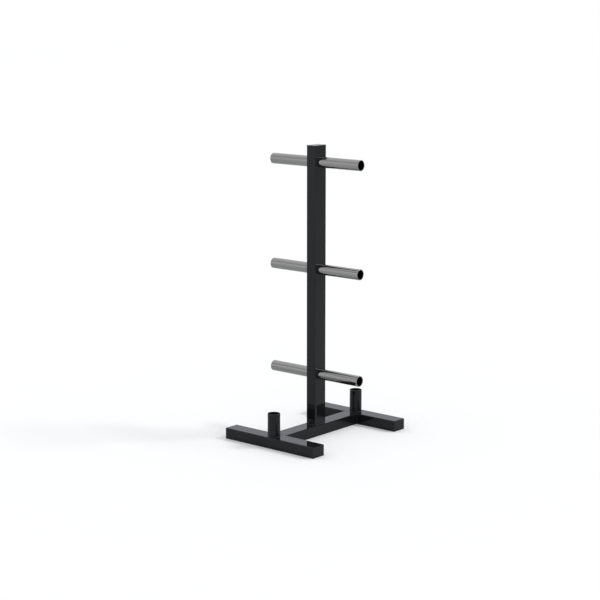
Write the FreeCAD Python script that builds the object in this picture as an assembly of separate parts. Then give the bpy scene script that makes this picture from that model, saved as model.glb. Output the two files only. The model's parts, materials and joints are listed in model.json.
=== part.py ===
import FreeCAD, Part
import math
import os

# Plate tree, in millimetres with +Z up.
# Two feet and a crossbar make an H on the floor. A mast stands on the middle of the
# crossbar and carries three pairs of plate pegs. A short upright tube stands on each
# foot, where the crossbar meets it, and holds the end of a bar.
# The origin is on the floor under the mast. X runs along the pegs and the feet, Y runs
# along the crossbar. Left is -X, right is +X, near is -Y and far is +Y.

# Rectangular tube of the feet, the crossbar and the mast
tube_wide = 75.0
tube_narrow = 50.0
tube_wall = 2.5
tube_corner_radius = 3.0
least_inner_radius = 0.5

# Base
foot_length = 512.0
feet_spacing = 580.0

# Mast
mast_length = 1264.0

# Flat plates welded over the open tube ends
end_plate_thickness = 3.0
end_plate_edge_radius = 1.0

# Plate pegs
peg_outer_diameter = 48.3
peg_wall = 3.2
peg_length = 226.5
peg_rim_radius = 0.8
peg_levels = ("lower", "middle", "upper")
lowest_peg_above_base = 233.0
highest_peg_below_mast_end = 72.0

# Bar holders
holder_outer_diameter = 56.0
holder_wall = 2.5
holder_length = 103.0
holder_rim_radius = 0.6

# Welds. A peg's weld fills a bevel round its root, so that plates slide right up to the mast.
# The others are fillet beads.
peg_weld_share_of_wall = 0.75
peg_weld_hollow = 0.25
holder_weld_leg = 2.0
mast_weld_leg = 2.0
crossbar_weld_leg = 2.0
seam_depth_below_flush = 0.4

# Share of the leg at which the middle of a bead's convex face stands out from its corner
bead_bulge = 0.6

# Heights and places that follow from the sizes above
base_top = tube_narrow
mast_half_narrow = tube_narrow / 2
foot_centre_y = feet_spacing / 2
foot_inner_y = foot_centre_y - tube_wide / 2
crossbar_length = 2 * foot_inner_y
foot_tube_length = foot_length - 2 * end_plate_thickness
peg_weld_depth = peg_weld_share_of_wall * peg_wall
lowest_peg_height = base_top + lowest_peg_above_base
highest_peg_height = base_top + mast_length - highest_peg_below_mast_end
peg_spacing = (highest_peg_height - lowest_peg_height) / (len(peg_levels) - 1)

ORIGIN = FreeCAD.Vector(0, 0, 0)
X_AXIS = FreeCAD.Vector(1, 0, 0)
Y_AXIS = FreeCAD.Vector(0, 1, 0)
Z_AXIS = FreeCAD.Vector(0, 0, 1)

# Each turn takes a shape that is built along +Z and lays it along another axis.
# The first two lay a section with its narrow side upright.
ALONG_X_FLAT = FreeCAD.Rotation(Y_AXIS, Z_AXIS, X_AXIS)
ALONG_Y_FLAT = FreeCAD.Rotation(-X_AXIS, Z_AXIS, Y_AXIS)
TURN_TO_LEFT = FreeCAD.Rotation(Y_AXIS, -90)
TURN_TO_RIGHT = FreeCAD.Rotation(Y_AXIS, 90)

sides = (("left", -1, TURN_TO_LEFT), ("right", 1, TURN_TO_RIGHT))
feet = (("near", -1), ("far", 1))

nodes = {}


def placed(shape, place, turn=None):
    """A copy of the shape, turned about the origin and then moved to its place."""
    copy = shape.copy()
    copy.Placement = FreeCAD.Placement(place, turn or FreeCAD.Rotation())
    return copy


def rounded_rectangle(width, depth, radius, height=0.0):
    """A closed wire in a level plane, centred on the Z axis, with round corners."""
    radius = min(radius, 0.49 * width, 0.49 * depth)
    x, y = width / 2, depth / 2
    corners = ((x - radius, y - radius, 0), (radius - x, y - radius, 90),
               (radius - x, radius - y, 180), (x - radius, radius - y, 270))
    edges = []
    for cx, cy, start in corners:
        arc_points = []
        for angle in (start, start + 45, start + 90):
            along = math.radians(angle)
            arc_points.append(FreeCAD.Vector(cx + radius * math.cos(along),
                                             cy + radius * math.sin(along), height))
        if edges:
            edges.append(Part.LineSegment(last_point, arc_points[0]).toShape())
        else:
            first_point = arc_points[0]
        edges.append(Part.Arc(*arc_points).toShape())
        last_point = arc_points[2]
    edges.append(Part.LineSegment(last_point, first_point).toShape())
    return Part.Wire(edges)


def rounded_bar(width, depth, radius, length):
    """A solid bar of rounded rectangular section, from the origin up along Z."""
    return Part.Face(rounded_rectangle(width, depth, radius)).extrude(Z_AXIS * length)


def rectangular_tube(length):
    """The frame's tube along Z, its wide side along X and its narrow side along Y."""
    inner_radius = max(tube_corner_radius - tube_wall, least_inner_radius)
    outside = rounded_bar(tube_wide, tube_narrow, tube_corner_radius, length)
    inside = rounded_bar(tube_wide - 2 * tube_wall, tube_narrow - 2 * tube_wall, inner_radius, length)
    return outside.cut(inside)


def end_plate():
    """A plate of the tube's outline along Z, with the edge of its upper face rounded over."""
    plate = rounded_bar(tube_wide, tube_narrow, tube_corner_radius, end_plate_thickness)
    rim = [edge for edge in plate.Edges if edge.BoundBox.ZMin > end_plate_thickness / 2]
    return plate.makeFillet(end_plate_edge_radius, rim)


def round_tube(outer_diameter, wall, length, rim_radius):
    """A round tube from the origin up along Z, with the outer edge of its free end eased."""
    outer_radius = outer_diameter / 2
    tube = Part.makeCylinder(outer_radius, length).cut(Part.makeCylinder(outer_radius - wall, length))
    rim = [edge for edge in tube.Edges
           if edge.BoundBox.ZMin > length / 2 and edge.BoundBox.XLength > 2 * (outer_radius - wall / 2)]
    return tube.makeFillet(rim_radius, rim)


def bevelled_foot(tube, outer_diameter, wall, depth):
    """The tube with the outer edge of its foot cut back at 45 degrees for a weld."""
    foot = [edge for edge in tube.Edges
            if edge.BoundBox.ZMax < depth and edge.BoundBox.XLength > outer_diameter - wall]
    return tube.makeChamfer(depth, foot)


def groove_weld(outer_diameter, depth):
    """The ring that fills the bevel round the foot of an upright tube, its face a little hollow."""
    radius = outer_diameter / 2
    root = FreeCAD.Vector(radius - depth, 0, 0)
    low = FreeCAD.Vector(radius, 0, 0)
    middle = FreeCAD.Vector(radius - peg_weld_hollow, 0, depth / 2)
    high = FreeCAD.Vector(radius, 0, depth)
    edges = [Part.LineSegment(root, low).toShape(),
             Part.Arc(low, middle, high).toShape(),
             Part.LineSegment(high, root).toShape()]
    return Part.Face(Part.Wire(edges)).revolve(ORIGIN, Z_AXIS, 360)


def bead_section(leg, offset=0.0):
    """The face of a convex fillet bead: its corner at X = offset, its legs along +X and +Z."""
    corner = FreeCAD.Vector(offset, 0, 0)
    toe = FreeCAD.Vector(offset + leg, 0, 0)
    crown = FreeCAD.Vector(offset + leg * bead_bulge, 0, leg * bead_bulge)
    top = FreeCAD.Vector(offset, 0, leg)
    edges = [Part.LineSegment(corner, toe).toShape(),
             Part.Arc(toe, crown, top).toShape(),
             Part.LineSegment(top, corner).toShape()]
    return Part.Face(Part.Wire(edges))


def ring_bead(tube_diameter, leg):
    """A fillet bead round the foot of an upright round tube that stands at the origin."""
    return bead_section(leg, tube_diameter / 2).revolve(ORIGIN, Z_AXIS, 360)


def mast_bead():
    """A fillet bead round the foot of the mast, in two tapered steps that make it convex."""
    steps = ((0.0, mast_weld_leg), (bead_bulge * mast_weld_leg, bead_bulge * mast_weld_leg),
             (mast_weld_leg, 0.05 * mast_weld_leg))
    wires = []
    for height, reach in steps:
        wires.append(rounded_rectangle(tube_narrow + 2 * reach, tube_wide + 2 * reach,
                                       tube_corner_radius + reach, height))
    mast_section = rounded_bar(tube_narrow, tube_wide, tube_corner_radius, mast_weld_leg)
    return Part.makeLoft(wires, True, True).cut(mast_section)


def side_bead(side):
    """An upright fillet bead in the corner of the crossbar's side and the near foot's face."""
    height = tube_narrow - 2 * tube_corner_radius
    bead = bead_section(crossbar_weld_leg)
    bead.rotate(ORIGIN, X_AXIS, -90)
    if side < 0:
        bead = bead.mirror(ORIGIN, X_AXIS)
    bead.translate(FreeCAD.Vector(side * tube_wide / 2, -foot_inner_y, tube_corner_radius))
    return bead.extrude(Z_AXIS * height)


def seam_bead(low, high, centre_z):
    """The bead that fills the groove over or under the near foot's rounded inner corner."""
    length = tube_wide - 2 * tube_corner_radius
    groove = Part.makeBox(length, tube_corner_radius, high - low,
                          FreeCAD.Vector(-length / 2, -foot_inner_y - tube_corner_radius, low))
    corner = Part.makeCylinder(tube_corner_radius, length,
                               FreeCAD.Vector(-length / 2, -foot_inner_y - tube_corner_radius, centre_z),
                               X_AXIS)
    return groove.cut(corner)


def add_base():
    """The two feet, their end plates and the crossbar between them."""
    foot = placed(rectangular_tube(foot_tube_length), FreeCAD.Vector(-foot_tube_length / 2, 0, 0),
                  ALONG_X_FLAT)
    for foot_name, way in feet:
        middle = FreeCAD.Vector(0, way * foot_centre_y, tube_narrow / 2)
        tube = foot.copy()
        tube.translate(middle)
        nodes[foot_name + "_foot_tube"] = tube
        for side_name, side, turn in sides:
            plate = placed(end_plate(), ORIGIN, ALONG_X_FLAT)
            plate.translate(X_AXIS * (foot_tube_length / 2))
            if side < 0:
                plate = plate.mirror(ORIGIN, X_AXIS)
            plate.translate(middle)
            nodes[foot_name + "_foot_" + side_name + "_end_plate"] = plate
    nodes["crossbar_tube"] = placed(rectangular_tube(crossbar_length),
                                    FreeCAD.Vector(0, -foot_inner_y, tube_narrow / 2), ALONG_Y_FLAT)


def add_mast():
    """The mast on the crossbar's top, its wide side along the crossbar, and its top plate."""
    upright = FreeCAD.Rotation(Z_AXIS, 90)
    nodes["mast_tube"] = placed(rectangular_tube(mast_length), Z_AXIS * base_top, upright)
    nodes["mast_top_plate"] = placed(end_plate(), Z_AXIS * (base_top + mast_length), upright)
    nodes["mast_base_weld"] = placed(mast_bead(), Z_AXIS * base_top)


def add_pegs():
    """A peg and its weld on each side of the mast at each level."""
    peg = bevelled_foot(round_tube(peg_outer_diameter, peg_wall, peg_length, peg_rim_radius),
                        peg_outer_diameter, peg_wall, peg_weld_depth)
    weld = groove_weld(peg_outer_diameter, peg_weld_depth)
    for level, level_name in enumerate(peg_levels):
        height = lowest_peg_height + level * peg_spacing
        for side_name, side, turn in sides:
            root = FreeCAD.Vector(side * mast_half_narrow, 0, height)
            name = level_name + "_" + side_name + "_peg"
            nodes[name] = placed(peg, root, turn)
            nodes[name + "_weld"] = placed(weld, root, turn)


def add_holders():
    """A bar holder and its weld on each foot, in line with the crossbar."""
    holder = round_tube(holder_outer_diameter, holder_wall, holder_length, holder_rim_radius)
    weld = ring_bead(holder_outer_diameter, holder_weld_leg)
    for foot_name, way in feet:
        seat = FreeCAD.Vector(0, way * foot_centre_y, base_top)
        nodes[foot_name + "_bar_holder"] = placed(holder, seat)
        nodes[foot_name + "_bar_holder_weld"] = placed(weld, seat)


def add_crossbar_welds():
    """The beads at each end of the crossbar: one on each side, one over and one under."""
    seam_top = base_top - seam_depth_below_flush
    beads = [side_bead(-1), side_bead(1),
             seam_bead(base_top - tube_corner_radius, seam_top, base_top - tube_corner_radius),
             seam_bead(seam_depth_below_flush, tube_corner_radius, tube_corner_radius)]
    near_weld = Part.makeCompound(beads)
    nodes["near_crossbar_weld"] = near_weld
    nodes["far_crossbar_weld"] = near_weld.mirror(ORIGIN, Y_AXIS)


add_base()
add_mast()
add_pegs()
add_holders()
add_crossbar_welds()

os.makedirs("parts", exist_ok=True)
for node_name, node_shape in nodes.items():
    node_shape.exportStep("parts/" + node_name + ".step")
    print(node_name, len(node_shape.Solids), node_shape.isValid(), round(node_shape.Volume, 1))
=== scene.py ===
import json
import math

import bpy
import numpy as np
from bpy.props import FloatProperty, FloatVectorProperty, IntProperty, PointerProperty
from mathutils import Euler, Matrix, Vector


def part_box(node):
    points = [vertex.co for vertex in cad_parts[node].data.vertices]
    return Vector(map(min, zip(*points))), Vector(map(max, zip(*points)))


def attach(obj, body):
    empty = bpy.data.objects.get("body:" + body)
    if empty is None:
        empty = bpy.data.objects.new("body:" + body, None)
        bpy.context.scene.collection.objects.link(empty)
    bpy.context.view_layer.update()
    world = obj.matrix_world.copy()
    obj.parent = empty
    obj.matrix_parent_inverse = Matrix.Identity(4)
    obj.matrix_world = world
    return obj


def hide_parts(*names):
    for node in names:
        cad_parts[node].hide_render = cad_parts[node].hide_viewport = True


bl_info = {
    "name": "Plate tree",
    "version": (1, 0, 0),
    "blender": (4, 5, 0),
    "location": "View3D > Sidebar > Plate tree",
    "description": "Pegs, bar holders, weld beads, paint and studio for a welded plate tree",
    "category": "Add Mesh",
}

# Everything is in metres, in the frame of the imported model: the origin on the floor under the
# mast, X along the pegs and feet, Y along the crossbar, Z up.
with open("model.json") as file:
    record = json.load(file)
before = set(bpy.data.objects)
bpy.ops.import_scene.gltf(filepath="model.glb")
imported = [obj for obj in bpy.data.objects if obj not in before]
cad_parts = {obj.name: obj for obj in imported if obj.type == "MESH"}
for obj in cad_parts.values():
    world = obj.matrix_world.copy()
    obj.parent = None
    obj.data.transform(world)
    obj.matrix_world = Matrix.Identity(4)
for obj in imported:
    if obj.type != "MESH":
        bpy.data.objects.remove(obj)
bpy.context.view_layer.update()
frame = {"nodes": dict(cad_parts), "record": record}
NODES = frame["nodes"]

LEVELS = ("lower", "middle", "upper")
SIDES = (("left", -1.0), ("right", 1.0))
FEET = (("near", -1.0), ("far", 1.0))

# Each peg's node, and the way along X that it points
PEGS = tuple((f"{level}_{side}_peg", way) for level in LEVELS for side, way in SIDES)

BODY = "root"
PAINT_SLOT = "frame_paint"
STEEL_SLOT = "peg_steel"
PAINT_MATERIAL = "gloss_black_paint"
BEAD_PAINT_MATERIAL = "black_paint_on_beads"
STEEL_MATERIAL = "ground_peg_steel"

# Angle between two faces from which their shared edge is shaded as a crease
CREASE_ANGLE = math.radians(30)

FULL_TURN = 2 * math.pi
QUARTER_TURN = math.pi / 2


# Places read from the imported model

def node_span(name, axis):
    """Lowest and highest coordinate of a node along an axis, 0 for X, 1 for Y and 2 for Z."""
    low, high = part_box(name)
    return low[axis], high[axis]


def node_size(name, axis):
    """How far a node reaches along an axis."""
    low, high = node_span(name, axis)
    return high - low


def node_middle(name, axis):
    """The middle of a node along an axis."""
    low, high = node_span(name, axis)
    return (low + high) / 2


# Grids of points made into closed surfaces

def grid_quads(rows, columns, join_rows, join_columns):
    """Quads between neighbours of a grid of points. A joined direction meets its own start."""
    index = np.arange(rows * columns).reshape(rows, columns)
    if join_rows:
        index = np.vstack((index, index[:1]))
    if join_columns:
        index = np.hstack((index, index[:, :1]))
    corners = (index[:-1, :-1], index[1:, :-1], index[1:, 1:], index[:-1, 1:])
    return np.stack(corners, axis=-1).reshape(-1, 4)


def enclosed_volume(points, faces):
    """Signed volume within quads: the sum over two triangles each of a . (b x c) / 6."""
    total = 0.0
    for second, third in ((1, 2), (2, 3)):
        a, b, c = points[faces[:, 0]], points[faces[:, second]], points[faces[:, third]]
        total += np.einsum("ij,ij->", a, np.cross(b, c)) / 6
    return total


def closed_faces(points, rows, columns, join_rows=True):
    """Faces over a grid of points whose columns join up, all pointing out.

    The rows join up as well, or else each open end gets a flat cap."""
    quads = grid_quads(rows, columns, join_rows, True)
    caps = []
    if not join_rows:
        ring = np.arange(columns)
        caps = [ring.tolist(), (ring[::-1] + (rows - 1) * columns).tolist()]
    faces = quads.tolist() + caps
    if enclosed_volume(points - points.mean(axis=0), quads) < 0:
        faces = [face[::-1] for face in faces]
    return faces


def joined(parts):
    """Several (points, faces) pairs as one pair."""
    points, faces, count = [], [], 0
    for part_points, part_faces in parts:
        points.append(part_points)
        faces += [[count + corner for corner in face] for face in part_faces]
        count += len(part_points)
    return np.vstack(points), faces


def ring_points(section, segments):
    """A closed section carried once round the Z axis.

    Point (i, j) is section point i, at (radius, height), turned by j / segments of a full turn:
    x = radius cos a, y = radius sin a, z = height."""
    angle = np.arange(segments) * FULL_TURN / segments
    radius, height = section[:, :1], section[:, 1:]
    return np.stack((radius * np.cos(angle), radius * np.sin(angle), height + 0 * angle),
                    axis=-1).reshape(-1, 3)


def arc(centre, radius, start, end, count):
    """Points of an arc, at (centre x + radius cos a, centre y + radius sin a), with both ends."""
    angle = np.linspace(start, end, count)
    return np.column_stack((centre[0] + radius * np.cos(angle),
                            centre[1] + radius * np.sin(angle)))


def line(start, end, count):
    """Evenly spaced points from start to end, without the end itself."""
    share = np.arange(count)[:, None] / count
    return np.asarray(start) * (1 - share) + np.asarray(end) * share


def laid_along_x(points, way, root):
    """Points built up Z from the origin, laid along +X or -X from a root point.

    A quarter turn about Y takes up to way times X: (x, y, z) goes to (way z, y, -way x)."""
    laid = np.column_stack((way * points[:, 2], points[:, 1], -way * points[:, 0]))
    return laid + np.asarray(root)


def add_piece(name, points, faces, nodes, slot, material, attributes=()):
    """A finished piece: its mesh, shading, material and place in the frame."""
    mesh = bpy.data.meshes.new(name)
    mesh.from_pydata(points.tolist(), [], faces)
    for attribute_name, values in attributes:
        attribute = mesh.attributes.new(attribute_name, "FLOAT_VECTOR", "POINT")
        attribute.data.foreach_set("vector", np.ascontiguousarray(values, dtype=np.float32).ravel())
    mesh.shade_smooth()
    mesh.set_sharp_from_angle(angle=CREASE_ANGLE)
    mesh.update()
    piece = bpy.data.objects.new(name, mesh)
    bpy.context.scene.collection.objects.link(piece)
    piece.data.materials.append(material)
    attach(piece, BODY)
    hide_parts(*nodes)
    return piece


# Sizes and finishes that a user would change

class PegSizes(bpy.types.PropertyGroup):
    outer_diameter: FloatProperty(
        name="Outer diameter", description="Across a plate peg",
        default=node_size("lower_right_peg", 1), min=0.01, unit="LENGTH")
    wall: FloatProperty(
        name="Wall", description="Wall thickness of a peg",
        default=0.0032, min=0.001, unit="LENGTH")
    rim_radius: FloatProperty(
        name="Rim radius", description="Rounding of the outer edge at the free end",
        default=0.0008, min=0.0001, unit="LENGTH")
    weld_share: FloatProperty(
        name="Weld share", description="Share of the wall that the bevel for the weld cuts back",
        default=0.75, min=0.1, max=0.95, subtype="FACTOR")
    segments: IntProperty(
        name="Segments", description="Faces round a peg", default=160, min=24, max=256)


class HolderSizes(bpy.types.PropertyGroup):
    outer_diameter: FloatProperty(
        name="Outer diameter", description="Across a bar holder",
        default=node_size("near_bar_holder", 0), min=0.01, unit="LENGTH")
    wall: FloatProperty(
        name="Wall", description="Wall thickness of a holder",
        default=0.0025, min=0.0005, unit="LENGTH")
    rim_radius: FloatProperty(
        name="Rim radius", description="Rounding of the outer edge at the top",
        default=0.0006, min=0.0001, unit="LENGTH")
    segments: IntProperty(
        name="Segments", description="Faces round a holder", default=160, min=24, max=256)


class WeldSizes(bpy.types.PropertyGroup):
    leg: FloatProperty(
        name="Leg", description="Leg of the fillet beads", default=0.002, min=0.001, unit="LENGTH")
    pitch: FloatProperty(
        name="Ripple pitch", description="Distance between two ripples of a bead",
        default=0.0022, min=0.0005, unit="LENGTH")
    ripple: FloatProperty(
        name="Ripple depth", description="How deep the ripples of a bead are",
        default=0.00028, min=0.0, unit="LENGTH")


class PaintFinish(bpy.types.PropertyGroup):
    colour: FloatVectorProperty(
        name="Colour", description="Colour of the gloss paint", subtype="COLOR",
        default=(0.0077, 0.0079, 0.0082), min=0.0, max=1.0)
    colour_deep: FloatVectorProperty(
        name="Deeper colour", description="Colour where the paint lies a little thicker",
        subtype="COLOR", default=(0.0069, 0.0071, 0.0074), min=0.0, max=1.0)
    roughness: FloatProperty(
        name="Roughness", description="Roughness of the gloss paint",
        default=0.03, min=0.0, max=1.0, subtype="FACTOR")
    bead_roughness: FloatProperty(
        name="Bead roughness", description="Roughness of the paint on the weld beads",
        default=0.3, min=0.0, max=1.0, subtype="FACTOR")
    ior: FloatProperty(
        name="IOR", description="Refractive index of the paint, which sets how much it mirrors",
        default=1.34, min=1.0, max=2.0)
    mirror_tint: FloatVectorProperty(
        name="Mirror tint", description="Faint cool tint of what the gloss paint mirrors",
        subtype="COLOR", default=(0.914, 0.957, 1.0), min=0.0, max=1.0)


class SteelFinish(bpy.types.PropertyGroup):
    colour: FloatVectorProperty(
        name="Colour", description="Colour of the ground steel", subtype="COLOR",
        default=(0.295, 0.295, 0.295), min=0.0, max=1.0)
    colour_warm: FloatVectorProperty(
        name="Warm colour", description="Colour of the slightly warmer patches",
        subtype="COLOR", default=(0.291, 0.288, 0.286), min=0.0, max=1.0)
    # The bore's dark colour is painted shade, for the little light that reaches inside a peg; the bore
    # is also rough, unfinished steel
    shaded_bore_colour: FloatVectorProperty(
        name="Bore colour", description="Colour of the unfinished inside of a peg",
        subtype="COLOR", default=(0.02, 0.019, 0.018), min=0.0, max=1.0)
    roughness: FloatProperty(
        name="Roughness", description="Roughness of the ground outside",
        default=0.075, min=0.0, max=1.0, subtype="FACTOR")
    bore_roughness: FloatProperty(
        name="Bore roughness", description="Roughness of the unfinished inside",
        default=0.6, min=0.0, max=1.0, subtype="FACTOR")


class StudioSetup(bpy.types.PropertyGroup):
    camera_place: FloatVectorProperty(
        name="Camera place", description="Where the camera stands", subtype="TRANSLATION",
        unit="LENGTH", default=(4.6775, -5.61468, 2.00609))
    camera_pitch: FloatProperty(
        name="Camera pitch", description="How far the camera looks down", subtype="ANGLE",
        default=0.18748)
    camera_yaw: FloatProperty(
        name="Camera yaw", description="Turn of the camera round the vertical", subtype="ANGLE",
        default=0.70453)
    lens: FloatProperty(
        name="Lens", description="Focal length on a 36 mm sensor", subtype="DISTANCE_CAMERA",
        default=99.361, min=1.0)
    sky_level: FloatProperty(
        name="Sky level", description="Even light from all round", default=0.848, min=0.0)
    lamp_level: FloatProperty(
        name="Lamp level", description="Light of the soft key lamp on the floor",
        default=0.2, min=0.0)
    lamp_azimuth: FloatProperty(
        name="Lamp azimuth", description="Side that the key lamp stands on, from +X towards +Y",
        subtype="ANGLE", default=math.radians(41))
    lamp_elevation: FloatProperty(
        name="Lamp elevation", description="Height of the key lamp above the horizon",
        subtype="ANGLE", default=math.radians(44))
    lamp_width: FloatProperty(
        name="Lamp width", description="How wide the key lamp looks from the rack",
        subtype="ANGLE", default=math.radians(14.9))
    lamp_height: FloatProperty(
        name="Lamp height", description="How tall the key lamp looks from the rack",
        subtype="ANGLE", default=math.radians(8.7))
    lamp_roll: FloatProperty(
        name="Lamp roll", description="Turn of the key lamp round the line to the rack",
        subtype="ANGLE", default=math.radians(14.5))
    background: FloatProperty(
        name="Background", description="Level of the background as the camera sees it",
        default=1.0, min=0.0)
    mirrored_sky: FloatProperty(
        name="Studio in reflections",
        description="Level of the pale studio that gloss and metal mirror", default=1.0, min=0.0)
    mirrored_floor: FloatVectorProperty(
        name="Floor in reflections", size=2, default=(0.86, 0.51), min=0.0, max=1.0,
        description="Grey value of the floor that gloss and metal mirror, near right and far left")
    floor_reach: FloatProperty(
        name="Floor reach", description="From the rack to the edge of the floor",
        default=40.0, min=1.0, unit="LENGTH")
    floor_colour: FloatProperty(
        name="Floor colour", description="Grey value of the floor", default=0.97, min=0.0, max=1.0)


def settings():
    """The sizes and finishes kept on the scene."""
    return bpy.context.scene.plate_tree


class PlateTreeSettings(bpy.types.PropertyGroup):
    pegs: PointerProperty(name="Pegs", type=PegSizes)
    holders: PointerProperty(name="Bar holders", type=HolderSizes)
    welds: PointerProperty(name="Welds", type=WeldSizes)
    paint: PointerProperty(name="Paint", type=PaintFinish)
    steel: PointerProperty(name="Peg steel", type=SteelFinish)
    studio: PointerProperty(name="Studio", type=StudioSetup)


# Materials

class Nodes:
    """Short ways to add and join shader nodes of one node tree."""

    def __init__(self, tree):
        self.tree = tree
        tree.nodes.clear()

    def add(self, kind, inputs=(), **values):
        """A node with some of its fields and input sockets set or linked."""
        node = self.tree.nodes.new(kind)
        for field, value in values.items():
            setattr(node, field, value)
        for socket, value in dict(inputs).items():
            if isinstance(value, bpy.types.NodeSocket):
                self.tree.links.new(value, node.inputs[socket])
            else:
                node.inputs[socket].default_value = value
        return node

    def ramp(self, factor, stops):
        """A colour ramp with (place, colour) stops."""
        node = self.add("ShaderNodeValToRGB", {"Fac": factor})
        elements = node.color_ramp.elements
        while len(elements) < len(stops):
            elements.new(1.0)
        for element, (place, colour) in zip(elements, stops):
            element.position = place
            element.color = (*colour, 1.0)
        return node.outputs["Color"]

    def between(self, factor, low, high, start=0.0, end=1.0):
        """A number that runs from low to high while the factor runs from start to end."""
        node = self.add("ShaderNodeMapRange", {"Value": factor, "From Min": start, "From Max": end,
                                               "To Min": low, "To Max": high})
        return node.outputs["Result"]

    def mixed(self, factor, low, high):
        """A number that goes from low to high with a factor from 0 to 1.

        A Mix node's sockets go by their places, because its numbers and colours share names."""
        return self.add("ShaderNodeMix", {0: factor, 2: low, 3: high}).outputs[0]

    def mixed_colour(self, factor, low, high):
        """A colour that goes from low to high with a factor from 0 to 1."""
        return self.add("ShaderNodeMix", {0: factor, 6: low, 7: high}, data_type="RGBA").outputs[2]

    def noise(self, vector, scale, detail):
        """A cloudy pattern from 0 to 1, with that many clouds for each unit of the vector."""
        node = self.add("ShaderNodeTexNoise", {"Vector": vector, "Scale": scale, "Detail": detail})
        return node.outputs["Fac"]

    def stretched(self, vector, factors):
        """The vector times one factor for each axis."""
        node = self.add("ShaderNodeVectorMath", {0: vector, 1: factors}, operation="MULTIPLY")
        return node.outputs["Vector"]


def new_material(name):
    """The material of that name, with an empty node tree."""
    material = bpy.data.materials.get(name) or bpy.data.materials.new(name)
    material.use_nodes = True
    return material, Nodes(material.node_tree)


def finish_surface(nodes, sockets):
    """The surface shader and the material's output."""
    shader = nodes.add("ShaderNodeBsdfPrincipled", sockets)
    nodes.add("ShaderNodeOutputMaterial", {"Surface": shader.outputs["BSDF"]})


# Orange peel of the gloss paint, as ripples per metre and as the height of a ripple
PEEL_SCALE = 260.0
PEEL_HEIGHT = 0.0000025

# The paint's clouds of two near-blacks, per metre, and where in their pattern each is full
CLOUD_SCALE = 9.0
CLOUD_STOPS = (0.35, 0.65)

# The haze in the paint's sheen, per metre, and the share of the roughness that it adds or takes
HAZE_SCALE = 27.0
HAZE_SPREAD = 0.3


def black_paint(name, gloss):
    """Smooth black paint: two near-blacks in soft clouds, faint orange peel, a slightly hazy sheen."""
    finish = settings().paint
    material, nodes = new_material(name)
    place = nodes.add("ShaderNodeTexCoord").outputs["Object"]
    cloud = nodes.noise(place, CLOUD_SCALE, detail=4.0)
    colour = nodes.ramp(cloud, tuple(zip(CLOUD_STOPS, (finish.colour_deep, finish.colour))))
    haze = nodes.noise(place, HAZE_SCALE, detail=3.0)
    roughness = nodes.between(haze, gloss * (1 - HAZE_SPREAD), gloss * (1 + HAZE_SPREAD))
    peel = nodes.noise(place, PEEL_SCALE, detail=1.0)
    bump = nodes.add("ShaderNodeBump", {"Height": peel, "Distance": PEEL_HEIGHT})
    finish_surface(nodes, {"Base Color": colour, "Roughness": roughness, "IOR": finish.ior,
                           "Specular Tint": (*finish.mirror_tint, 1.0),
                           "Normal": bump.outputs["Normal"]})
    return material


def gloss_paint():
    """The paint of the tubes and plates."""
    return black_paint(PAINT_MATERIAL, settings().paint.roughness)


def bead_paint():
    """The same paint on the weld beads, duller."""
    return black_paint(BEAD_PAINT_MATERIAL, settings().paint.bead_roughness)


# Fine lines that the grinding leaves along a peg, as lines per metre round and along it
GRIND_STRETCH = (1400.0, 1400.0, 9.0)
GRIND_HEIGHT = 0.0000012

# How dark and how light the ground lines are, and the share of the roughness that they add or take
LINE_SHADES = (0.965, 1.035)
LINE_SPREAD = 0.25

# The steel's warmer patches, per metre across and along a peg, and where in their pattern the
# colour and the warm colour are full
PATCH_STRETCH = (30.0, 30.0, 14.0)
PATCH_STOPS = (0.38, 0.68)

# How far outside the bore's wall the ground finish is full, and where it has ended and the bore's
# painted shade begins
FINISH_FULL = 0.0003
FINISH_ENDED = 0.0001

# The attribute that keeps each point's place on its peg
PEG_PLACE = "peg_place"


def ground_steel():
    """Bright steel with faint ground lines along the peg, and a rough unfinished bore whose dark
    colour is painted shade.
    """
    finish = settings().steel
    sizes = settings().pegs
    material, nodes = new_material(STEEL_MATERIAL)
    place = nodes.add("ShaderNodeAttribute", attribute_name=PEG_PLACE).outputs["Vector"]
    lines = nodes.noise(nodes.stretched(place, GRIND_STRETCH), 1.0, detail=3.0)
    patches = nodes.noise(nodes.stretched(place, PATCH_STRETCH), 1.0, detail=3.0)
    outside = nodes.ramp(patches, tuple(zip(PATCH_STOPS, (finish.colour, finish.colour_warm))))
    outside = nodes.stretched(outside, nodes.between(lines, *LINE_SHADES))
    across = nodes.stretched(place, (1.0, 1.0, 0.0))
    radius = nodes.add("ShaderNodeVectorMath", {0: across}, operation="LENGTH").outputs["Value"]
    bore = sizes.outer_diameter / 2 - sizes.wall
    # Inside the bore the colour is painted shade, and the roughness is that of unfinished steel
    inside = nodes.between(radius, 0.0, 1.0, bore + FINISH_FULL, bore + FINISH_ENDED)
    colour = nodes.mixed_colour(inside, outside, (*finish.shaded_bore_colour, 1.0))
    gloss = nodes.between(lines, finish.roughness * (1 - LINE_SPREAD),
                          finish.roughness * (1 + LINE_SPREAD))
    roughness = nodes.mixed(inside, gloss, finish.bore_roughness)
    bump = nodes.add("ShaderNodeBump", {"Height": lines, "Distance": GRIND_HEIGHT})
    finish_surface(nodes, {"Base Color": colour, "Roughness": roughness, "Metallic": 1.0,
                           "Normal": bump.outputs["Normal"]})
    return material


# Sections of the round tubes and of the beads

# Steps along a bead
STEPS_PER_RIPPLE = 8
LEAST_BEAD_STEPS = 8

# Points of a section's runs and arcs
LENGTH_STEPS = 24
RIM_STEPS = 7
RIM_FLAT_STEPS = 3
INNER_EDGE_STEPS = 4
FOOT_STEPS = 2
BEVEL_STEPS = 3
FILLET_STEPS = 9
GROOVE_STEPS = 7

# Rounding of the edge between a rim and the bore
INNER_EDGE = 0.0002

# Keeps the rim's flat off the end of the arc before it
RIM_GAP = 0.0001

# Corner radius of the frame's tube
TUBE_CORNER_RADIUS = 0.003

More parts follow.
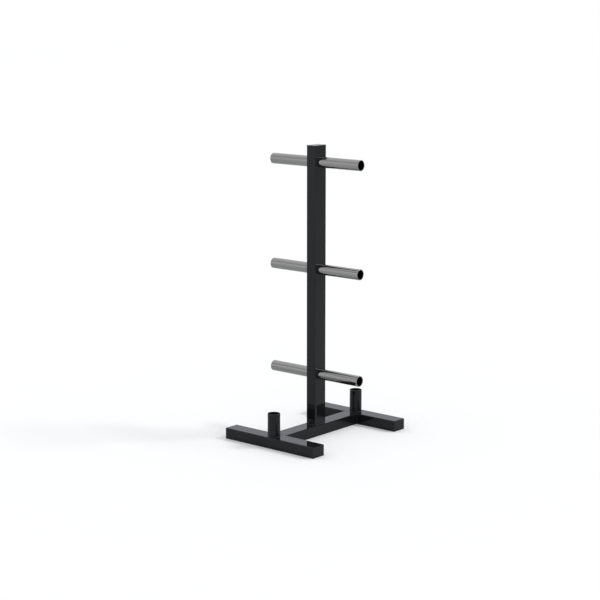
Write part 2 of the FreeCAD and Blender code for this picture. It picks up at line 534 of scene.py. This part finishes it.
# Share of the pitch at which a ripple starts to fall, and the share by which its crest lags
FALL_FROM = 0.82
CREST_LAG = 0.55

# Share of its leg by which the middle of a fillet bead lies inside the round
FILLET_FLATNESS = 0.19

# How hollow a peg's weld is, and the share of the ripples that its grinding leaves
GROOVE_HOLLOW = 0.00006
GROUND_RIPPLE = 0.06

# How far the seams over and under the crossbar's ends lie below flush
SEAM_BELOW_FLUSH = 0.0004


def open_tube_section(radius, wall, length, rim_radius, bevel=0.0):
    """Closed section of an upright tube, as (radius, height) points.

    It runs up the outside wall, over the rounded rim, across the flat end, over a small inner
    edge, down the bore and back out along the foot and its bevel."""
    bore = radius - wall
    parts = [line((radius, bevel), (radius, length - rim_radius), LENGTH_STEPS),
             arc((radius - rim_radius, length - rim_radius), rim_radius, 0.0, QUARTER_TURN,
                 RIM_STEPS),
             line((radius - rim_radius - RIM_GAP, length), (bore + INNER_EDGE, length),
                  RIM_FLAT_STEPS),
             arc((bore + INNER_EDGE, length - INNER_EDGE), INNER_EDGE, QUARTER_TURN,
                 2 * QUARTER_TURN, INNER_EDGE_STEPS),
             line((bore, length - 2 * INNER_EDGE), (bore, 0.0), LENGTH_STEPS),
             line((bore, 0.0), (radius - bevel, 0.0), FOOT_STEPS)]
    if bevel:
        parts.append(line((radius - bevel, 0.0), (radius, bevel), BEVEL_STEPS))
    else:
        parts.append(((radius, 0.0),))
    return np.vstack(parts)


def ripple_rise(distance, depth, pitch):
    """Height of the ripples at a distance along a bead.

    Each ripple rises slowly and falls fast, as a cooled puddle's edge does: depth times the
    share s of the pitch that has passed, eased as s (2 - s), which a soft step at its end brings
    back to 0. Half the depth comes off, so that the ripples lie on both sides of the face."""
    share = np.mod(distance / pitch, 1.0)
    step = np.clip((share - FALL_FROM) / (1 - FALL_FROM), 0.0, 1.0)
    return depth * (share * (2 - share) * (1 - step * step * (3 - 2 * step)) - 0.5)


def crest_lag(middle, welds):
    """How far the crests lag, where middle is 0 at a bead's toes and 1 half way between them."""
    return welds.pitch * CREST_LAG * (1 - middle)


def bead_surface(corner, out, up, distance, welds, closed):
    """A fillet bead carried along a path.

    corner, out and up are arrays of one point or direction for each step of the path. The
    section is a quarter arc from the toe at corner + leg out to the top at corner + leg up, a
    little flat in its middle and pushed outwards by the ripples, and two flat backs that meet at
    the corner. The crests lag towards both toes, so that each ripple is a crescent."""
    turn = np.linspace(0.0, QUARTER_TURN, FILLET_STEPS)
    middle = np.sin(2 * turn)
    rise = ripple_rise(distance[:, None] + crest_lag(middle, welds), welds.ripple, welds.pitch)
    reach = welds.leg * (1 - FILLET_FLATNESS * middle) + rise * middle
    face = (corner[:, None, :] + out[:, None, :] * (reach * np.cos(turn))[:, :, None]
            + up[:, None, :] * (reach * np.sin(turn))[:, :, None])
    points = np.concatenate((face, corner[:, None, :]), axis=1)
    flat = points.reshape(-1, 3)
    return flat, closed_faces(flat, *points.shape[:2], closed)


def steps_for(length, welds):
    """How many steps along a bead show its ripples."""
    return max(LEAST_BEAD_STEPS, int(round(length / welds.pitch * STEPS_PER_RIPPLE)))


def whole_pitch(length, distance, welds):
    """Distances stretched a little, so that a closed bead holds a whole number of ripples."""
    ripples = max(1, round(length / welds.pitch))
    return distance * ripples * welds.pitch / length


def steps_round(radius, welds):
    """The angles of a round bead's steps, and their distances along it."""
    length = FULL_TURN * radius
    count = steps_for(length, welds)
    angle = np.arange(count) * FULL_TURN / count
    return angle, whole_pitch(length, angle / FULL_TURN * length, welds)


def round_bead(radius, seat, welds):
    """A fillet bead round an upright tube of that radius, on a seat given as (x, y, z)."""
    angle, distance = steps_round(radius + welds.leg / 2, welds)
    out = np.column_stack((np.cos(angle), np.sin(angle), 0 * angle))
    up = np.tile((0.0, 0.0, 1.0), (len(angle), 1))
    return bead_surface(out * radius + np.asarray(seat), out, up, distance, welds, True)


def outline_path(half_x, half_y, radius, count):
    """Even steps round a rectangle with round corners, as places and outward directions.

    The distance round is split over four straight runs and four quarter arcs, and a step on an
    arc turns its direction by its distance from the arc's start over the radius."""
    run_x, run_y, bend = 2 * (half_x - radius), 2 * (half_y - radius), QUARTER_TURN * radius
    lengths = np.array((run_y, bend, run_x, bend) * 2)
    ends = np.cumsum(lengths)
    distance = np.arange(count) * ends[-1] / count
    part = np.searchsorted(ends, distance, side="right")
    within = distance - (ends - lengths)[part]
    side, bent = part // 2, part % 2
    angle = side * QUARTER_TURN + bent * within / radius
    out = np.column_stack((np.cos(angle), np.sin(angle)))
    along = np.column_stack((-np.sin(side * QUARTER_TURN), np.cos(side * QUARTER_TURN)))
    hubs = np.array(((1, 1), (-1, 1), (-1, -1), (1, -1)))[side] * (half_x - radius, half_y - radius)
    runs = np.where(side % 2 == 0, run_y, run_x)
    place = hubs + radius * out + np.where(bent == 0, within - runs, 0.0)[:, None] * along
    return place, out, distance, ends[-1]


# Shift of each peg's ground lines along it, one way on the left pegs and the other on the right
PEG_PATTERN_SHIFT = 0.31


def add_on_peg(peg, way, suffix, node, upright, faces, steel):
    """A steel piece of a peg, built up Z from the peg's root and laid along it."""
    low, high = node_span(peg, 0)
    root = (low if way > 0 else high, node_middle(peg, 1), node_middle(peg, 2))
    own = upright + (0.0, 0.0, root[2] + way * PEG_PATTERN_SHIFT)
    add_piece(node + suffix, laid_along_x(upright, way, root), faces, [node], STEEL_SLOT, steel,
              [(PEG_PLACE, own)])


def groove_ring(sizes, welds):
    """The weld that fills the bevel round an upright peg, its face a little hollow and rippled.

    Over the share t of the bevel's depth the face stands at the peg's radius less
    hollow sin(pi t), plus the ripples times the same sine. The weld is ground and plated like
    the peg, so only a trace of its ripples is left."""
    radius = sizes.outer_diameter / 2
    depth = sizes.wall * sizes.weld_share
    angle, distance = steps_round(radius, welds)
    share = np.linspace(0.0, 1.0, GROOVE_STEPS)
    middle = np.sin(math.pi * share)
    ripple = welds.ripple * GROUND_RIPPLE
    rise = ripple_rise(distance[:, None] + crest_lag(middle, welds), ripple, welds.pitch)
    reach = radius + (rise - ripple / 2 - GROOVE_HOLLOW) * middle
    face = np.stack((reach * np.cos(angle)[:, None], reach * np.sin(angle)[:, None],
                     depth * share + 0 * reach), axis=-1)
    inner = radius - depth
    back = np.stack((inner * np.cos(angle), inner * np.sin(angle), 0 * angle), axis=-1)[:, None, :]
    points = np.concatenate((face, back), axis=1)
    flat = points.reshape(-1, 3)
    return flat, closed_faces(flat, *points.shape[:2])


def mast_bead(welds):
    """The fillet bead round the mast's foot."""
    half_x, half_y = node_size("mast_tube", 0) / 2, node_size("mast_tube", 1) / 2
    seat = np.array((node_middle("mast_tube", 0), node_middle("mast_tube", 1),
                     node_span("mast_tube", 2)[0]))
    count = steps_for(4 * (half_x + half_y), welds)
    place, out, distance, length = outline_path(half_x, half_y, TUBE_CORNER_RADIUS, count)
    level = np.zeros((count, 1))
    corner = np.hstack((place, level)) + seat
    up = np.tile((0.0, 0.0, 1.0), (count, 1))
    return bead_surface(corner, np.hstack((out, level)), up, whole_pitch(length, distance, welds),
                        welds, True)


def upright_bead(side, way, welds):
    """The bead in the corner of the crossbar's side and a foot's face."""
    half_width = node_size("crossbar_tube", 0) / 2
    low, high = node_span("crossbar_tube", 2)
    y = way * node_size("crossbar_tube", 1) / 2
    length = high - low - 2 * TUBE_CORNER_RADIUS
    count = steps_for(length, welds)
    height = np.linspace(low + TUBE_CORNER_RADIUS, high - TUBE_CORNER_RADIUS, count)
    corner = np.column_stack((0 * height + side * half_width, 0 * height + y, height))
    out = np.tile((side, 0.0, 0.0), (count, 1))
    up = np.tile((0.0, -way, 0.0), (count, 1))
    return bead_surface(corner, out, up, height - low, welds, False)


def seam_bead(way, over, welds):
    """The bead that fills the groove over or under a foot's rounded inner corner.

    Its section follows the corner's quarter arc down, goes up the crossbar's end and comes back
    across the top, which lies a little below flush and is rippled."""
    half_length = node_size("crossbar_tube", 0) / 2 - TUBE_CORNER_RADIUS
    low, high = node_span("crossbar_tube", 2)
    y = node_size("crossbar_tube", 1) / 2
    count = steps_for(2 * half_length, welds)
    along = np.linspace(-half_length, half_length, count)
    top = high - SEAM_BELOW_FLUSH
    drop = math.asin((TUBE_CORNER_RADIUS - SEAM_BELOW_FLUSH) / TUBE_CORNER_RADIUS)
    corner = arc((y + TUBE_CORNER_RADIUS, high - TUBE_CORNER_RADIUS), TUBE_CORNER_RADIUS,
                 math.pi - drop, math.pi, GROOVE_STEPS)
    share = np.linspace(0.0, 1.0, GROOVE_STEPS)
    face = np.column_stack((y + (corner[0, 0] - y) * share, np.full(GROOVE_STEPS, top)))[:-1]
    middle = np.concatenate((np.zeros(len(corner)), np.sin(math.pi * share[:-1])))
    section = np.vstack((corner, face))
    rise = ripple_rise(along[:, None] + crest_lag(middle, welds), welds.ripple, welds.pitch)
    height = section[:, 1] + (rise + welds.ripple / 2) * middle
    if not over:
        height = high + low - height
    points = np.stack((along[:, None] + 0 * height, way * section[:, 0] + 0 * height, height),
                      axis=-1)
    flat = points.reshape(-1, 3)
    return flat, closed_faces(flat, *points.shape[:2], False)


def crossbar_beads(way, welds):
    """The four beads at one end of the crossbar."""
    return joined([upright_bead(-1.0, way, welds), upright_bead(1.0, way, welds),
                   seam_bead(way, True, welds), seam_bead(way, False, welds)])


# The stage

# How far the floor lies below the feet, so that it shares no face with them
FLOOR_DROP = 0.0002

# Lines of points across the floor, each way
FLOOR_STEPS = 9

# Grey value of the floor for the light that it bounces
FLOOR_PLAIN = 0.95

# The floor that gloss and metal mirror gets dimmer in this direction, over this distance both ways
FAR_LEFT = (-0.53, 0.85, 0.0)
FLOOR_SHADED_OVER = 3.5

# Far enough off for the lamp to light the whole floor alike
LAMP_DISTANCE = 1000.0

# The camera's sensor in millimetres, and how far the camera sees
SENSOR_WIDTH = 36.0
CAMERA_REACH = 500.0


def ray_flags(nodes):
    """Light Path's Is Camera or Transmission Ray as one factor, and Is Glossy Ray as another."""
    rays = nodes.add("ShaderNodeLightPath").outputs
    seen = nodes.add("ShaderNodeMath", {0: rays["Is Camera Ray"], 1: rays["Is Transmission Ray"]},
                     operation="MAXIMUM").outputs[0]
    return seen, rays["Is Glossy Ray"]


def add_floor(studio):
    """A wide level floor, white to the camera and greyer in reflections and bounced light."""
    side = np.linspace(-studio.floor_reach, studio.floor_reach, FLOOR_STEPS)
    x, y = np.meshgrid(side, side, indexing="ij")
    points = np.stack((x, y, 0 * x - FLOOR_DROP), axis=-1).reshape(-1, 3)
    mesh = bpy.data.meshes.new("studio_floor")
    mesh.from_pydata(points.tolist(), [],
                     grid_quads(FLOOR_STEPS, FLOOR_STEPS, False, False).tolist())
    floor = bpy.data.objects.new("studio_floor", mesh)
    bpy.context.scene.collection.objects.link(floor)
    material, nodes = new_material("studio_floor")
    seen, mirrored = ray_flags(nodes)
    place = nodes.add("ShaderNodeTexCoord").outputs["Object"]
    along = nodes.add("ShaderNodeVectorMath", {0: place, 1: FAR_LEFT}, operation="DOT_PRODUCT")
    shaded = nodes.between(along.outputs["Value"], *studio.mirrored_floor, -FLOOR_SHADED_OVER,
                           FLOOR_SHADED_OVER)
    grey = nodes.mixed(mirrored, FLOOR_PLAIN, shaded)
    grey = nodes.mixed(seen, grey, studio.floor_colour)
    diffuse = nodes.add("ShaderNodeBsdfDiffuse", {"Color": grey})
    nodes.add("ShaderNodeOutputMaterial", {"Surface": diffuse.outputs["BSDF"]})
    mesh.materials.append(material)


# The pale panels that gloss and metal mirror, as angle, level and tint. The angle runs in degrees
# from the horizon on the near side over the top to the horizon on the far side.
EVEN = (1.0, 1.0, 1.0)
WARM = (1.015, 0.99, 1.0)
COOL = (0.98, 1.0, 1.065)
LEFT_PANELS = (
    (0, 0.86, EVEN), (12, 0.97, EVEN), (22, 1.06, WARM), (30, 0.98, WARM), (38, 0.82, EVEN),
    (45, 0.66, EVEN), (56, 0.66, EVEN), (62, 0.82, EVEN), (69, 0.98, EVEN), (77, 1.02, EVEN),
    (150, 1.02, EVEN), (157, 0.84, COOL), (168, 0.82, COOL), (180, 0.76, COOL))
RIGHT_PANELS = (
    (0, 0.9, EVEN), (60, 0.9, EVEN), (120, 0.8, EVEN), (150, 0.35, EVEN), (180, 0.35, EVEN))
HALF_TURN_DEGREES = 180

# Tint of the even light, which the shadows show
SKY_TINT = (0.985, 1.0, 1.012)

# The x of a direction, to either side of 0, over which the left panels give way to the right ones
SIDE_BLEND = 0.15


def mirrored_studio(nodes, level):
    """The studio's panels by the angle round X, from the world's direction (x, y, z).

    The angle is the arc tangent of z over -y, as a share of half a turn. The left and right
    panels blend where x passes 0."""
    place = nodes.add("ShaderNodeTexCoord").outputs["Generated"]
    direction = nodes.add("ShaderNodeSeparateXYZ", {"Vector": place}).outputs
    nearward = nodes.add("ShaderNodeMath", {0: direction["Y"], 1: -1.0}, operation="MULTIPLY")
    angle = nodes.add("ShaderNodeMath", {0: direction["Z"], 1: nearward.outputs[0]},
                      operation="ARCTAN2")
    share = nodes.add("ShaderNodeMath", {0: angle.outputs[0], 1: math.pi}, operation="DIVIDE")
    left, right = [
        nodes.ramp(share.outputs[0], [(degrees / HALF_TURN_DEGREES,
                                       [level * panel * part for part in tint])
                                      for degrees, panel, tint in panels])
        for panels in (LEFT_PANELS, RIGHT_PANELS)]
    side = nodes.between(direction["X"], 0.0, 1.0, -SIDE_BLEND, SIDE_BLEND)
    return nodes.mixed_colour(side, left, right)


def light_studio(studio):
    """The even light from all round, and the white that the camera sees behind the rack."""
    world = bpy.context.scene.world or bpy.data.worlds.new("studio")
    bpy.context.scene.world = world
    world.use_nodes = True
    nodes = Nodes(world.node_tree)
    seen, mirrored = ray_flags(nodes)
    plain = [studio.sky_level * part for part in SKY_TINT]
    white = [studio.background] * 3
    even = nodes.mixed_colour(seen, (*plain, 1.0), (*white, 1.0))
    colour = nodes.mixed_colour(mirrored, even, mirrored_studio(nodes, studio.mirrored_sky))
    background = nodes.add("ShaderNodeBackground", {"Color": colour})
    nodes.add("ShaderNodeOutputWorld", {"Surface": background.outputs["Background"]})


def add_key_lamp(studio):
    """A soft rectangular lamp far off, whose light on the floor adds lamp_level to a white.

    Its power is pi squared times the square of its distance, times the level over the sine of
    its elevation."""
    lamp = bpy.data.lights.new("key_lamp", "AREA")
    lamp.shape = "RECTANGLE"
    lamp.size = 2 * LAMP_DISTANCE * math.tan(studio.lamp_width / 2)
    lamp.size_y = 2 * LAMP_DISTANCE * math.tan(studio.lamp_height / 2)
    rise, reach = math.sin(studio.lamp_elevation), math.cos(studio.lamp_elevation)
    lamp.energy = studio.lamp_level / rise * (math.pi * LAMP_DISTANCE) ** 2
    placed = bpy.data.objects.new("key_lamp", lamp)
    placed.location = (LAMP_DISTANCE * reach * math.cos(studio.lamp_azimuth),
                       LAMP_DISTANCE * reach * math.sin(studio.lamp_azimuth), LAMP_DISTANCE * rise)
    aim = Euler((QUARTER_TURN - studio.lamp_elevation, 0.0, studio.lamp_azimuth + QUARTER_TURN))
    roll = Matrix.Rotation(studio.lamp_roll, 3, "Z")
    placed.rotation_euler = (aim.to_matrix() @ roll).to_euler()
    bpy.context.scene.collection.objects.link(placed)


def add_camera(studio):
    """The camera, placed and aimed as the studio's settings say."""
    camera = bpy.data.cameras.new("camera")
    camera.sensor_width = SENSOR_WIDTH
    camera.lens = studio.lens
    camera.clip_end = CAMERA_REACH
    placed = bpy.data.objects.new("camera", camera)
    placed.location = studio.camera_place
    placed.rotation_euler = (QUARTER_TURN - studio.camera_pitch, 0.0, studio.camera_yaw)
    bpy.context.scene.collection.objects.link(placed)
    bpy.context.scene.camera = placed
    bpy.context.scene.view_settings.view_transform = "Standard"


# Operators, one for each piece or group of like pieces and one for the stage

class PLATE_TREE_OT_frame_paint(bpy.types.Operator):
    """Gives the feet, the crossbar, the mast and their end plates their gloss paint"""
    bl_idname = "plate_tree.frame_paint"
    bl_label = "Paint the frame"

    def execute(self, context):
        paint = gloss_paint()
        for part in frame["record"]["subparts"]:
            if part["material_slot"] == PAINT_SLOT:
                mesh = NODES[part["node"]].data
                mesh.materials.clear()
                mesh.materials.append(paint)
        return {"FINISHED"}


class PLATE_TREE_OT_pegs(bpy.types.Operator):
    """Makes the six plate pegs of ground steel"""
    bl_idname = "plate_tree.pegs"
    bl_label = "Make the plate pegs"

    def execute(self, context):
        sizes = settings().pegs
        steel = ground_steel()
        for peg, way in PEGS:
            section = open_tube_section(sizes.outer_diameter / 2, sizes.wall, node_size(peg, 0),
                                        sizes.rim_radius, sizes.wall * sizes.weld_share)
            upright = ring_points(section, sizes.segments)
            faces = closed_faces(upright, len(section), sizes.segments)
            add_on_peg(peg, way, "_ground", peg, upright, faces, steel)
        return {"FINISHED"}


class PLATE_TREE_OT_peg_welds(bpy.types.Operator):
    """Makes the weld in the bevel round the root of each peg"""
    bl_idname = "plate_tree.peg_welds"
    bl_label = "Make the peg welds"

    def execute(self, context):
        sizes, welds = settings().pegs, settings().welds
        steel = ground_steel()
        for peg, way in PEGS:
            upright, faces = groove_ring(sizes, welds)
            add_on_peg(peg, way, "_bead", peg + "_weld", upright, faces, steel)
        return {"FINISHED"}


class PLATE_TREE_OT_bar_holders(bpy.types.Operator):
    """Makes the two bar holders and the bead round the foot of each"""
    bl_idname = "plate_tree.bar_holders"
    bl_label = "Make the bar holders"

    def execute(self, context):
        sizes, welds = settings().holders, settings().welds
        paint, dull = gloss_paint(), bead_paint()
        radius = sizes.outer_diameter / 2
        for foot, way in FEET:
            node = foot + "_bar_holder"
            seat = (node_middle(node, 0), node_middle(node, 1), node_span(node, 2)[0])
            section = open_tube_section(radius, sizes.wall, node_size(node, 2), sizes.rim_radius)
            points = ring_points(section, sizes.segments) + seat
            add_piece(node + "_tube", points, closed_faces(points, len(section), sizes.segments),
                      [node], PAINT_SLOT, paint)
            weld = node + "_weld"
            add_piece(weld + "_bead", *round_bead(radius, seat, welds), [weld], PAINT_SLOT, dull)
        return {"FINISHED"}


class PLATE_TREE_OT_frame_welds(bpy.types.Operator):
    """Makes the beads at the mast's foot and at both ends of the crossbar"""
    bl_idname = "plate_tree.frame_welds"
    bl_label = "Make the frame welds"

    def execute(self, context):
        welds = settings().welds
        dull = bead_paint()
        add_piece("mast_base_weld_bead", *mast_bead(welds), ["mast_base_weld"], PAINT_SLOT, dull)
        for foot, way in FEET:
            node = foot + "_crossbar_weld"
            add_piece(node + "_beads", *crossbar_beads(way, welds), [node], PAINT_SLOT, dull)
        return {"FINISHED"}


class PLATE_TREE_OT_stage(bpy.types.Operator):
    """Makes the floor, the studio, the soft key lamp and the camera"""
    bl_idname = "plate_tree.stage"
    bl_label = "Set the stage"

    def execute(self, context):
        studio = settings().studio
        add_floor(studio)
        light_studio(studio)
        add_key_lamp(studio)
        add_camera(studio)
        return {"FINISHED"}


OPERATORS = (PLATE_TREE_OT_frame_paint, PLATE_TREE_OT_pegs, PLATE_TREE_OT_peg_welds,
             PLATE_TREE_OT_bar_holders, PLATE_TREE_OT_frame_welds, PLATE_TREE_OT_stage)


class PLATE_TREE_PT_panel(bpy.types.Panel):
    """Lists the plate tree's operators"""
    bl_idname = "PLATE_TREE_PT_panel"
    bl_label = "Plate tree"
    bl_space_type = "VIEW_3D"
    bl_region_type = "UI"
    bl_category = "Plate tree"

    def draw(self, context):
        for operator in OPERATORS:
            self.layout.operator(operator.bl_idname)


CLASSES = (PegSizes, HolderSizes, WeldSizes, PaintFinish, SteelFinish, StudioSetup,
           PlateTreeSettings, *OPERATORS, PLATE_TREE_PT_panel)


def register():
    for cls in CLASSES:
        bpy.utils.register_class(cls)
    bpy.types.Scene.plate_tree = PointerProperty(type=PlateTreeSettings)


def unregister():
    del bpy.types.Scene.plate_tree
    for cls in reversed(CLASSES):
        bpy.utils.unregister_class(cls)


def main():
    register()
    for operator in OPERATORS:
        group, action = operator.bl_idname.split(".")
        getattr(getattr(bpy.ops, group), action)()


if __name__ == "__main__":
    main()
